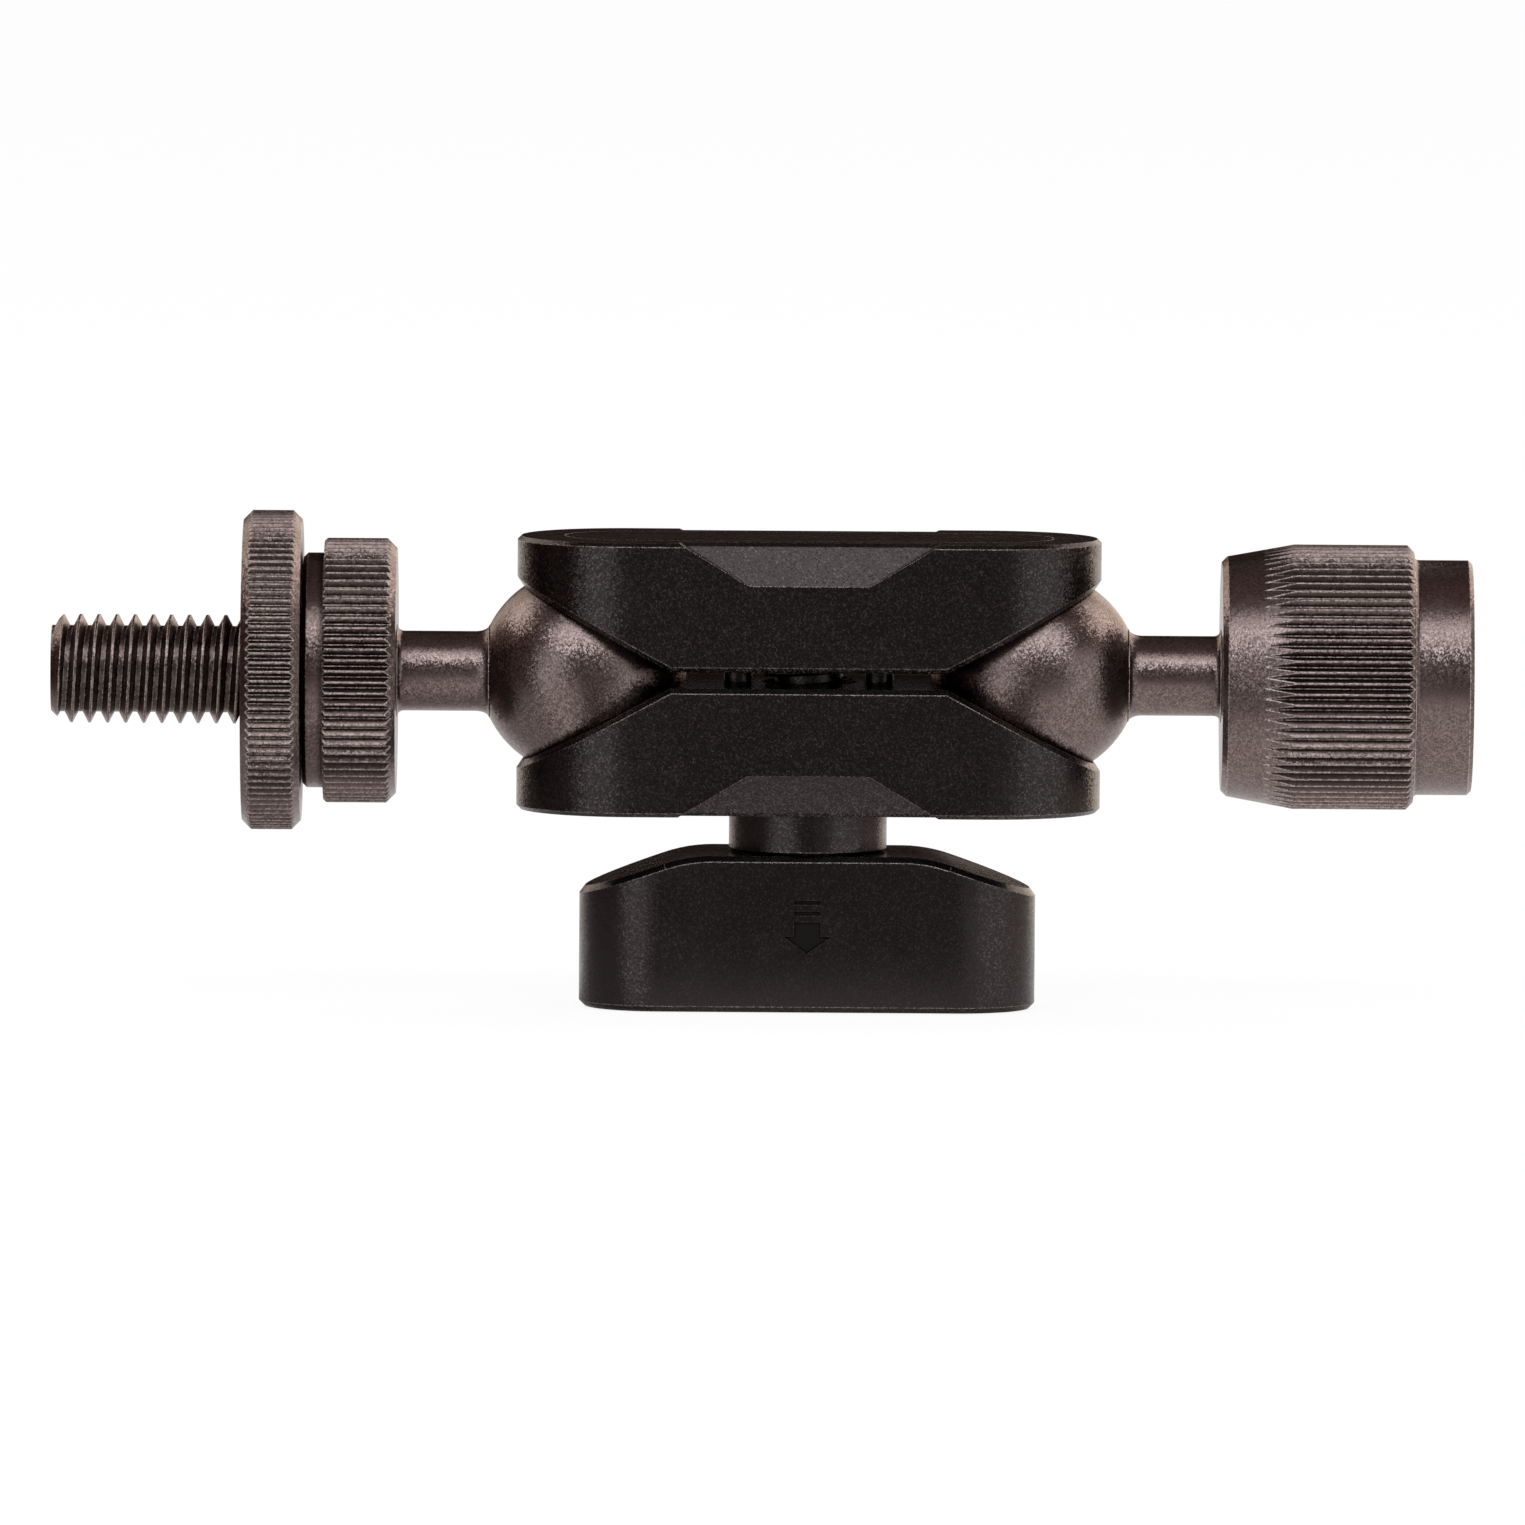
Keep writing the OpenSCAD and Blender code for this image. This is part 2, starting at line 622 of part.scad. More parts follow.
// A generic down arrow with two bars above it, engraved in the handle's front
module arrow_cut() {
    half = arrow_shaft_w / 2;
    bar_z = handle_h - arrow_drop;
    shaft_z = bar_z - 2 * arrow_step;
    neck_z = shaft_z - arrow_shaft_h;
    rotate([90, 0, 0])
        translate([0, 0, handle_d / 2 - arrow_depth])
            linear_extrude(arrow_depth + over) {
                for (i = [0, 1])
                    translate([-half, bar_z - i * arrow_step - arrow_bar_h])
                        square([arrow_shaft_w, arrow_bar_h]);
                polygon([[-half, shaft_z], [half, shaft_z], [half, neck_z], [arrow_w / 2, neck_z],
                    [0, neck_z - arrow_head_h], [-arrow_w / 2, neck_z], [-half, neck_z]]);
            }
}

module handle() on_clamp() color(black)
    difference() {
        intersection() {
            stadium_block(handle_l, handle_d, handle_h + over, handle_chamfer, over / 2);
            rotate([90, 0, 0]) linear_extrude(handle_d + 2 * over, center = true) handle_front();
        }
        both_ends() handle_edge_cut();
        translate([0, 0, insert_z]) cylinder(r = insert_r, h = handle_h);
        translate([0, 0, -over]) cylinder(r = screw_head_r + spring_room, h = floor_z + over);
        cylinder(r = screw_r + spring_room, h = handle_h);
        arrow_cut();
    }

module spline_insert() on_clamp() color(steel)
    translate([0, 0, insert_z])
        difference() {
            cylinder(r = insert_r, h = spline_l);
            translate([0, 0, -over])
                spline_star(spline_root_r + spline_room, spline_tip_r + spline_room, spline_l + 2 * over);
        }

module left_ball() color(bronze) on_left() sphere(r = ball_r);

module right_ball() color(bronze) on_right() sphere(r = ball_r);

// A neck: a concave seat on its ball, a cone at each end and the shank that the hub turns on
module neck() {
    seat_r = neck_r + neck_cone;
    seat_u = sqrt(ball_r * ball_r - seat_r * seat_r);
    difference() {
        rotate_extrude()
            polygon([[0, seat_u - over], [seat_r, seat_u - over], [seat_r, seat_u],
                [neck_r, seat_u + 2 * neck_cone], [neck_r, hub_u - neck_cone], [seat_r, hub_u],
                [shank_r, hub_u], [shank_r, hub_u + shank_l], [0, hub_u + shank_l]]);
        sphere(r = ball_r + run_room);
    }
}

module left_neck() color(bronze) on_left() neck();

module right_neck() color(bronze) on_right() neck();

// The bore that a neck's shank turns in
module shank_bore()
    translate([0, 0, hub_u - over]) cylinder(r = shank_r + run_room, h = shank_l + face_room + over);

module left_hub() color(bronze) {
    hub_r = hub_d / 2;
    on_left()
        difference() {
            intersection() {
                rotate_extrude()
                    polygon([[0, hub_face_u], [hub_r - hub_chamfer, hub_face_u],
                        [hub_r, hub_face_u + hub_chamfer], [hub_r, shoulder_u - hub_back_chamfer],
                        [hub_r - hub_back_chamfer, shoulder_u],
                        [shoulder_r, shoulder_u], [shoulder_r, shoulder_end_u - shoulder_chamfer],
                        [shoulder_r - shoulder_chamfer, shoulder_end_u], [0, shoulder_end_u]]);
                translate([0, 0, hub_u])
                    knurl_prism(hub_r, knurl_teeth, knurl_depth, knurl_flat, hub_w + shoulder_w + over);
            }
            shank_bore();
            translate([0, 0, thread_start_u])
                cylinder(r = thread_r - thread_relief, h = shoulder_end_u - thread_start_u + over);
        }
}

// The stud's thread as ring grooves: flats of an eighth of the pitch on the crests, a quarter at the roots
module thread_stud() color(bronze) {
    root_r = thread_r - thread_depth;
    seat_r = thread_r - thread_relief;
    mouth = thread_pitch * 7 / 16;
    root = thread_pitch / 8;
    free_u = wheel_u + wheel_w + face_room;
    last_u = thread_end_u - thread_chamfer - thread_pitch * 5 / 8;
    count = floor((last_u - free_u) / thread_pitch);
    grooves = [for (i = [count - 1 : -1 : 0])
        let (u = last_u - i * thread_pitch)
        each [[thread_r, u - mouth], [root_r, u - root], [root_r, u + root], [thread_r, u + mouth]]];
    seat = [[0, thread_start_u], [seat_r, thread_start_u], [seat_r, free_u], [thread_r, free_u]];
    tip = [[thread_r, thread_end_u - thread_chamfer], [thread_r - thread_chamfer, thread_end_u],
        [0, thread_end_u]];
    on_left() rotate_extrude() polygon(concat(seat, grooves, tip));
}

module lock_core() color(bronze) {
    bore_r = thread_r + run_room;
    on_left()
        translate([0, 0, wheel_u])
            rotate_extrude()
                polygon([[bore_r, core_chamfer], [bore_r + core_chamfer, 0], [core_r, 0], [core_r, wheel_w],
                    [bore_r + core_chamfer, wheel_w], [bore_r, wheel_w - core_chamfer]]);
}

module lock_wheel() color(bronze) {
    wheel_r = wheel_d / 2;
    on_left()
        translate([0, 0, wheel_u])
            difference() {
                intersection() {
                    rotate_extrude()
                        polygon([[0, 0], [wheel_r - wheel_chamfer, 0], [wheel_r, wheel_chamfer],
                            [wheel_r, wheel_w - wheel_chamfer], [wheel_r - wheel_chamfer, wheel_w],
                            [0, wheel_w]]);
                    translate([0, 0, -over])
                        knurl_prism(wheel_r, wheel_teeth, wheel_knurl_depth, knurl_flat, wheel_w + 2 * over);
                }
                translate([0, 0, -over]) cylinder(r = core_r + run_room, h = wheel_w + 2 * over);
            }
}

module barrel() color(bronze) {
    barrel_r = barrel_d / 2;
    small_r = barrel_small_d / 2;
    taper_u = hub_face_u + barrel_lip;
    straight_u = taper_u + barrel_taper_l;
    on_right()
        difference() {
            intersection() {
                rotate_extrude()
                    polygon([[0, hub_face_u], [small_r - barrel_lip, hub_face_u], [small_r, taper_u],
                        [barrel_r, straight_u], [barrel_r, straight_u + barrel_l],
                        [barrel_r - barrel_chamfer, barrel_end_u], [0, barrel_end_u]]);
                translate([0, 0, hub_u])
                    knurl_prism(barrel_r, knurl_teeth, knurl_depth, knurl_flat, barrel_end_u - hub_u + over);
            }
            shank_bore();
            translate([0, 0, barrel_end_u - nose_stem_l]) cylinder(d = nose_stem_d, h = nose_stem_l + over);
        }
}

module nose_socket() color(bronze) {
    nose_r = shoulder_r;
    socket_r = socket_d / 2;
    floor_u = nose_end_u - socket_l;
    on_right()
        difference() {
            rotate_extrude()
                polygon([[0, barrel_end_u - nose_stem_l], [nose_stem_d / 2, barrel_end_u - nose_stem_l],
                    [nose_stem_d / 2, barrel_end_u], [nose_r + nose_cone, barrel_end_u],
                    [nose_r, barrel_end_u + nose_cone], [nose_r, nose_end_u - nose_chamfer],
                    [nose_r - nose_chamfer, nose_end_u], [0, nose_end_u]]);
            translate([0, 0, floor_u]) cylinder(r = socket_r, h = socket_l + over);
            rotate_extrude()
                polygon([[0, nose_end_u - socket_chamfer], [socket_r, nose_end_u - socket_chamfer],
                    [socket_r + socket_chamfer + over, nose_end_u + over], [0, nose_end_u + over]]);
        }
}

upper_jaw();
top_plate();
clamp_bolt();
guide_pin_left();
guide_pin_right();
jaw_spring();
lower_jaw();
thrust_washer();
clamp_nut();
retaining_screw();
handle_spring();
handle();
spline_insert();
left_ball();
left_neck();
left_hub();
thread_stud();
lock_core();
lock_wheel();
right_ball();
right_neck();
barrel();
nose_socket();
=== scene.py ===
"""Looks of the double-ball friction arm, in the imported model's frame: metals, threads, light and camera."""

import json
import math

import bpy
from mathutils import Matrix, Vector


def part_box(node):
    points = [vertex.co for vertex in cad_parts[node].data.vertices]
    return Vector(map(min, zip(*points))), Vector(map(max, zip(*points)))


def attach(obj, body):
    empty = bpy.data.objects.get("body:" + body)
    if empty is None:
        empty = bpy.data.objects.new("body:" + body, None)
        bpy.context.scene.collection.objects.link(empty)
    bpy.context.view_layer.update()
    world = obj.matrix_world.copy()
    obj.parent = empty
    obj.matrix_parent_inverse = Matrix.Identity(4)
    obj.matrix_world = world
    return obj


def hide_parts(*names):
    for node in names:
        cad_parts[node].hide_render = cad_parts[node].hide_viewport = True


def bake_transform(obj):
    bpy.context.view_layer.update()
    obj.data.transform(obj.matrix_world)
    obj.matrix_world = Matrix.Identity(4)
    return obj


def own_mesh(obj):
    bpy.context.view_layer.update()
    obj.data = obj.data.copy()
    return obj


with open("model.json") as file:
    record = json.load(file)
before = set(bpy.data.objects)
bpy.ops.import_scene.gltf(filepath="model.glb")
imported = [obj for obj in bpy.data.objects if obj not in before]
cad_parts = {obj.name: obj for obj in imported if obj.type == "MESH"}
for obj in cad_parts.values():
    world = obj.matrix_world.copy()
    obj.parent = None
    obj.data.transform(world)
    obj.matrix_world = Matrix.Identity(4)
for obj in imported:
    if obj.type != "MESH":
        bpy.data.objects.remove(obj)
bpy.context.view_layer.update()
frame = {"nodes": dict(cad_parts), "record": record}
nodes = frame["nodes"]
scene = bpy.context.scene
scene.view_settings.view_transform = "Standard"

MM = 0.001
UP = Vector((0, 0, 1))


# Meshes

def add_mesh(name, verts, faces, body, material, smooth_angle=30):
    """A new piece from points in metres, shaded smooth except at edges sharper than smooth_angle."""
    mesh = bpy.data.meshes.new(name)
    mesh.from_pydata([tuple(v) for v in verts], [], faces)
    mesh.validate()
    mesh.shade_smooth()
    mesh.set_sharp_from_angle(angle=math.radians(smooth_angle))
    mesh.materials.append(material)
    piece = bpy.data.objects.new(name, mesh)
    scene.collection.objects.link(piece)
    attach(piece, body)
    return piece


# Where a thread's crest ends and where its root starts and ends, as shares of the pitch
CREST_END = .125
ROOT_START = .4375
ROOT_END = .6875
# The rows of points along one pitch
THREAD_ROWS = [0, .0625, CREST_END, .18, .24, .31, .38,
               ROOT_START, .5, .5625, .625, ROOT_END, .75, .82, .88, .94]


def thread_height(share):
    """Height of a 60 degree thread over its root, from 0 to 1, at a share of its pitch."""
    if share <= CREST_END:
        return 1
    if share < ROOT_START:
        return 1 - (share - CREST_END) / (ROOT_START - CREST_END)
    if share <= ROOT_END:
        return 0
    return (share - ROOT_END) / (1 - ROOT_END)


def quarter_turn(steps):
    """Angles from 0 to 90 degrees, in radians."""
    return [math.pi / 2 * i / steps for i in range(steps + 1)]


class Turned:
    """Points and faces of a piece that is turned around one axis: u runs along it, r away from it."""

    def __init__(self, start, axis, segments):
        self.start, self.axis, self.segments = Vector(start), Vector(axis), segments
        self.side = self.axis.cross(UP) * -1
        self.verts, self.faces, self.keys = [], [], {}

    def point(self, u, r, turn):
        """The index of a point, which is made once however often it is asked for."""
        angle = 2 * math.pi * turn
        outwards = UP * math.cos(angle) + self.side * math.sin(angle)
        place = self.start + self.axis * u + outwards * r
        key = tuple(round(c * 1e8) for c in place)
        if key not in self.keys:
            self.keys[key] = len(self.verts)
            self.verts.append(place)
        return self.keys[key]

    def face(self, *corners):
        """A face without the corners that fall together, unless too few are left."""
        ring = [c for i, c in enumerate(corners) if c != corners[i - 1]]
        if len(set(ring)) == len(ring) > 2:
            self.faces.append(ring)

    def lathe(self, profile):
        """Turns a line of (u, r) points, outside to the left of its direction."""
        n = self.segments
        for (u0, r0), (u1, r1) in zip(profile, profile[1:]):
            for i in range(n):
                a, b = i / n, (i + 1) % n / n
                near = [self.point(u0, r0, a), self.point(u0, r0, b)]
                far = [self.point(u1, r1, b), self.point(u1, r1, a)]
                self.face(*near, *far)

    def thread(self, u0, u1, pitch, phase, radius, inside=False):
        """A right-hand thread between u0 and u1. radius(share of the pitch, u) gives its surface."""
        n = self.segments
        turns = math.ceil((u1 - u0) / pitch) + 2
        rows = [(k - 1, s) for k in range(turns) for s in THREAD_ROWS]

        def corner(i, row):
            k, s = rows[row]
            u = u0 + (k + s + phase + i / n) * pitch
            u = min(max(u, u0), u1)
            return self.point(u, radius(s, u), i % n / n)

        for i in range(n):
            for row in range(len(rows) - 1):
                quad = [corner(i, row), corner(i + 1, row), corner(i + 1, row + 1), corner(i, row + 1)]
                self.face(*(quad[::-1] if inside else quad))


# Shader nodes

class Shader:
    """The emptied node tree of a material or a world, with short ways to fill it."""

    def __init__(self, owner):
        owner.use_nodes = True
        self.tree = owner.node_tree
        self.tree.nodes.clear()

    def add(self, kind, **values):
        """A node with its settings and its inputs' values, where a socket of another node is linked.
        _0 stands for the first input, and two underscores for a space in an input's name."""
        node = self.tree.nodes.new("ShaderNode" + kind)
        for key, value in values.items():
            key = key.replace("__", " ")
            if hasattr(node, key):
                setattr(node, key, value)
                continue
            socket = node.inputs[int(key[1:]) if key[0] == "_" else key]
            if isinstance(value, bpy.types.NodeSocket):
                self.tree.links.new(value, socket)
            else:
                socket.default_value = value
        return node

    def math(self, operation, first, second):
        return self.add("Math", operation=operation, _0=first, _1=second).outputs[0]

    def vector(self, operation, *inputs):
        inputs = {f"_{i}": value for i, value in enumerate(inputs)}
        return self.add("VectorMath", operation=operation, **inputs).outputs[0]

    def ramp(self, value, start, end, low=0.0, high=1.0):
        """low where value is start, high where it is end, and in between a straight line."""
        return self.add("MapRange", _0=value, _1=start, _2=end, _3=low, _4=high).outputs[0]

    def mix(self, share, low, high, blend="MIX"):
        """A colour between low and high."""
        values = dict(_0=share, _6=low, _7=high)
        return self.add("Mix", data_type="RGBA", blend_type=blend, **values).outputs[2]


def rgba(r, g, b):
    return (r, g, b, 1)


# Metals

# The cosines of the turn of the normal, near an edge, at which the lighter edge colour, partly rubbed metal and
# partly a painted highlight, starts and is full
WEAR_HIGHLIGHT_STARTS, WEAR_HIGHLIGHT_FULL = .997, .93
WORN_ROUGH = .5
# The share of open air in a groove at which its painted shade is full, and the share from which there is none
SHADED_AIR, UNSHADED_AIR = .5, .97
# How far a gap's other wall may be to paint shade on this one, and the share of open air at which that painted
# shade is full
GAP_REACH = 4 * MM
GAP_AIR = .05
# How much the roughness varies in clouds, and how many clouds there are to the metre
CLOUD_ROUGH = .04
CLOUD_SCALE = 260.0
# Roughness in an engraving, and the share of the colour that is left there
ENGRAVED_ROUGH = .8
ENGRAVED_SHARE = .62
SAMPLES = 4


def outside(shader, place, middle, half):
    """Two values that are 1 outside a box and 0 inside: the first goes by x and z alone."""
    away = shader.vector("ABSOLUTE", shader.vector("SUBTRACT", place, middle))
    x, y, z = shader.add("SeparateXYZ", _0=shader.vector("DIVIDE", away, half)).outputs
    beside = shader.math("MAXIMUM", x, z)
    around = shader.math("MAXIMUM", beside, y)
    return shader.math("GREATER_THAN", beside, 1.0), shader.math("GREATER_THAN", around, 1.0)


def blasted(name, colour, pale, worn_highlight, groove_shade, gap_shade, rough, grain, tilt, sparse,
            edge=.12, groove_shade_reach=.6, free=.38, engraved=None):
    """A blasted metal, whose small grains each lean their own way. grain is their size in millimetres, tilt how
    far they lean, pale the colour of the lightest ones and sparse how few these are. worn is the colour along
    sharp edges: partly rubbed bare metal, partly a painted edge highlight. soiled is a painted shade deep in
    grooves, and dimmed the share of each colour, and of its reflection's tint, that is left in the narrowest
    gaps and between parts, as painted shade. edge and soil are how far the first two reach, in millimetres, and
    free is the share of open air from which no painted gap shade falls. engraved is a box, as its middle and
    half its size, in which the surface is dark and dull."""
    mat = bpy.data.materials.new(name)
    shader = Shader(mat)
    place = shader.add("TexCoord").outputs["Object"]
    grains = shader.add("TexVoronoi", Vector=place, Scale=1 / MM / grain).outputs["Color"]
    own = shader.add("SeparateColor", _0=grains).outputs[2]
    tone = shader.math("POWER", own, sparse)
    cloud = shader.add("TexNoise", Vector=place, Scale=CLOUD_SCALE, Detail=4.0, Roughness=.55).outputs["Fac"]
    gloss = shader.ramp(cloud, .3, .7, rough - CLOUD_ROUGH, rough + CLOUD_ROUGH)

    flat = shader.add("NewGeometry").outputs["Normal"]
    rounded = shader.add("Bevel", samples=SAMPLES, Radius=edge * MM).outputs["Normal"]
    turn = shader.add("VectorMath", operation="DOT_PRODUCT", _0=rounded, _1=flat).outputs["Value"]
    # Sharp edges get a lighter colour: partly rubbed bare metal, partly a painted edge highlight
    wear_and_highlight = shader.ramp(turn, WEAR_HIGHLIGHT_STARTS, WEAR_HIGHLIGHT_FULL)
    wear_and_highlight = shader.math("MULTIPLY", wear_and_highlight, shader.ramp(own, .2, .8, .15, 1.0))
    if engraved:
        beside, around = outside(shader, place, *engraved)
        wear_and_highlight = shader.math("MULTIPLY", wear_and_highlight, beside)
        tone = shader.math("MULTIPLY", tone, around)
        gloss = shader.ramp(around, 0.0, 1.0, ENGRAVED_ROUGH, gloss)

    shade = shader.mix(tone, rgba(*colour), rgba(*pale))
    if engraved:
        sunk = rgba(*(ENGRAVED_SHARE * c for c in colour))
        shade = shader.mix(around, sunk, shade)
    # Painted shade: deep in grooves the colour turns towards a dark shade colour
    air = shader.add("AmbientOcclusion", samples=SAMPLES, only_local=True, Distance=groove_shade_reach * MM).outputs["AO"]
    shade = shader.mix(shader.ramp(air, SHADED_AIR, UNSHADED_AIR), rgba(*groove_shade), shade)
    # Painted shade: within reach of another wall, in gaps and between parts, the colour and the tint of its
    # reflection are darkened
    air = shader.add("AmbientOcclusion", samples=SAMPLES, Distance=GAP_REACH).outputs["AO"]
    gap_shade_share = shader.mix(shader.ramp(air, GAP_AIR, free), rgba(*gap_shade), rgba(1, 1, 1))
    shade = shader.mix(1.0, shade, gap_shade_share, "MULTIPLY")
    # The lighter edge colour, partly rubbed metal and partly a painted highlight
    shade = shader.mix(wear_and_highlight, shade, rgba(*worn_highlight))
    gloss = shader.ramp(wear_and_highlight, 0.0, 1.0, gloss, WORN_ROUGH)

    lean = shader.vector("SUBTRACT", grains, (.5, .5, .5))
    reach = shader.ramp(tone, 0.0, 1.0, .8 * tilt, tilt)
    lean = shader.add("VectorMath", operation="SCALE", _0=lean, Scale=reach).outputs[0]
    normal = shader.vector("NORMALIZE", shader.vector("ADD", rounded, lean))
    metal = shader.add("BsdfPrincipled", Base__Color=shade, Metallic=1.0, Roughness=gloss, Normal=normal,
                       Specular__Tint=gap_shade_share)
    shader.add("OutputMaterial", Surface=metal.outputs[0])
    return mat


# The box around the engraved arrow on the handle's front
lo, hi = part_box("handle")
clamp_x = (lo.x + hi.x) / 2
arrow = ((clamp_x, lo.y + .3 * MM, 7.1 * MM), (2.3 * MM, .24 * MM, 3.1 * MM))

# Each look's edge colour is partly rubbed metal and partly a painted highlight; its groove and gap colours are
# painted shade
black_look = dict(worn_highlight=(.46, .42, .40), groove_shade=(.006, .005, .005), gap_shade=(.25, .22, .2),
                  rough=.27, grain=.12, sparse=4.0, groove_shade_reach=.25)
fine_look = dict(colour=(.0405, .0345, .0345), pale=(.10, .086, .086), tilt=.14, **black_look)
black = blasted("black_blasted", colour=(.037, .0313, .0313), pale=(.118, .102, .102), tilt=.22, **black_look)
black_fine = blasted("black_fine", **fine_look)
black_engraved = blasted("black_engraved", engraved=arrow, **fine_look)
bronze = blasted("bronze_blasted", colour=(.121, .088, .083), pale=(.285, .226, .214), worn_highlight=(.90, .79, .74),
                 groove_shade=(.02, .01, .008), gap_shade=(.32, .19, .17), rough=.28, grain=.13, tilt=.18, sparse=1.3,
                 edge=.15, free=.58)
# The steel is much darker than bare steel, as painted shade: its pins, bolt and spring sit in dark gaps inside
# the clamp
steel = blasted("steel_darkened_as_shade", colour=(.08, .075, .072), pale=(.13, .125, .12), worn_highlight=(.30, .29, .28),
                groove_shade=(.01, .009, .008), gap_shade=(.3, .28, .26), rough=.30, grain=.2, tilt=.08, sparse=1.0)
brass = blasted("brass_plain", colour=(.50, .36, .14), pale=(.62, .46, .20), worn_highlight=(.75, .60, .32),
                groove_shade=(.08, .05, .02), gap_shade=(.35, .3, .25), rough=.30, grain=.2, tilt=.08, sparse=1.0)

finish = {"black_body": black, "black_steel": black_fine, "bronze_metal": bronze,
          "steel": steel, "brass": brass}
for part in frame["record"]["subparts"]:
    slots = nodes[part["node"]].data.materials
    slots.clear()
    slots.append(finish[part["material_slot"]])
nodes["handle"].data.materials[0] = black_engraved


# The stud's thread: 3/8 inch, 16 turns to the inch, in the stud's place

lo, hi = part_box("thread_stud")
axis_z = (lo.z + hi.z) / 2
crest_r = (hi.z - lo.z) / 2
stud_l = hi.x - lo.x
pitch = 1.5875 * MM
thread_depth = .97 * MM
tip_chamfer = 1.05 * MM
# Where the crest starts around the stud, as a share of the pitch, so that its front looks like the photo's
stud_phase = .66


def stud_radius(share, u):
    r = crest_r - thread_depth * (1 - thread_height(share))
    return min(r, crest_r - tip_chamfer + stud_l - u)


stud = Turned((hi.x, 0, axis_z), (-1, 0, 0), segments=96)
stud.thread(0, stud_l, pitch, stud_phase, stud_radius)
stud.lathe([(stud_l, crest_r - tip_chamfer), (stud_l, 0)])
piece = add_mesh("stud_thread", stud.verts, stud.faces, "threaded_hub", bronze, smooth_angle=22)
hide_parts("thread_stud")


# The nose, with the same thread cut inside its socket

lo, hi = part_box("nose_socket")
end_u = hi.x - lo.x
nose_r = 10.3 * MM
nose_fillet = .4 * MM
nose_lip = .35 * MM
stem_r = 7 * MM
stem_u = 10 * MM
socket_r = 3.97 * MM
socket_phase = .2
floor_u = end_u - 13 * MM
mouth = .8 * MM
# The plain stretch at the socket's floor, and the stretch over which the thread then gets its depth
plain_l = fade_l = 1.5 * MM


def socket_radius(share, u):
    fade = min(max((u - floor_u - plain_l) / fade_l, 0), 1)
    r = socket_r + (crest_r - socket_r) * fade * (1 - thread_height(share))
    return max(r, socket_r + mouth - (end_u - u))


nose = Turned((lo.x, 0, axis_z), (1, 0, 0), segments=144)
shoulder = [(stem_u + nose_fillet * (1 - math.cos(a)), nose_r + nose_fillet * (1 - math.sin(a)))
            for a in quarter_turn(6)]
rim = [(end_u - nose_lip, nose_r), (end_u, nose_r - nose_lip), (end_u, socket_r + mouth)]
nose.lathe([(0, 0), (0, stem_r), (stem_u, stem_r)] + shoulder + rim)
nose.thread(floor_u, end_u, pitch, socket_phase, socket_radius, inside=True)
nose.lathe([(floor_u, socket_r), (floor_u, 0)])
piece = add_mesh("nose_threaded", nose.verts, nose.faces, "barrel", bronze, smooth_angle=24)
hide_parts("nose_socket")


# Necks with round fillets in place of the cones

neck_r = 3.5 * MM
neck_l = 7.15 * MM
seat_r = 4.1 * MM
seat_lift = .06 * MM
foot_l = 1.2 * MM
shank_r = 2.5 * MM
shank_l = 4 * MM


def add_neck(side, body, axis):
    """A neck from its seat on the ball to the shank inside its hub."""
    lo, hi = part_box(side + "_ball")
    ball_r = (hi.z - lo.z) / 2
    seat_u = math.sqrt(ball_r ** 2 - seat_r ** 2) + seat_lift
    hub_u = ball_r + neck_l
    flare = seat_r - neck_r
    angles = quarter_turn(8)
    foot = [(seat_u + foot_l * (1 - math.cos(a)), neck_r + flare * (1 - math.sin(a))) for a in angles]
    head = [(hub_u - flare + flare * math.sin(a), neck_r + flare * (1 - math.cos(a))) for a in angles]
    shank = [(hub_u, shank_r), (hub_u + shank_l, shank_r), (hub_u + shank_l, 0)]
    neck = Turned((lo + hi) / 2, axis, segments=96)
    neck.lathe([(seat_u, 0)] + foot + head + shank)
    piece = add_mesh(side + "_neck_turned", neck.verts, neck.faces, body, bronze)
    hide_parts(side + "_neck")


add_neck("left", "left_neck", (-1, 0, 0))
add_neck("right", "right_neck", (1, 0, 0))


# Springs as copies of their CAD meshes: the handle's rides with the clamp nut, the jaws' keeps its place in its
# mesh

def add_spring(node):
    """A copy of a spring's mesh in the CAD node's place, which hides the CAD node."""
    piece = bpy.data.objects.new(node + "_coil", nodes[node].data.copy())
    scene.collection.objects.link(piece)
    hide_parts(node)
    return piece


lo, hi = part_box("handle_spring")
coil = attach(add_spring("handle_spring"), "clamp_nut")
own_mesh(coil)

lo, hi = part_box("jaw_spring")
coil = add_spring("jaw_spring")
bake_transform(coil)


# Floor and background

def add_stage(name, verts, faces, material):
    """A piece of the studio, which isn't part of the object."""
    mesh = bpy.data.meshes.new(name)
    mesh.from_pydata(verts, [], faces)
    mesh.materials.append(material)
    piece = bpy.data.objects.new(name, mesh)
    scene.collection.objects.link(piece)
    return piece


def white_behind(shader, seen, other):
    """Mixes seen, for what the camera, gloss and glass see, with other, for everything else."""
    path = shader.add("LightPath").outputs
    either = shader.math("MAXIMUM", path["Is Camera Ray"], path["Is Glossy Ray"])
    either = shader.math("MAXIMUM", either, path["Is Transmission Ray"])
    return shader.add("MixShader", _0=either, _1=other, _2=seen).outputs[0]


FLOOR_HALF = 4.5
FLOOR_Z = -.0001
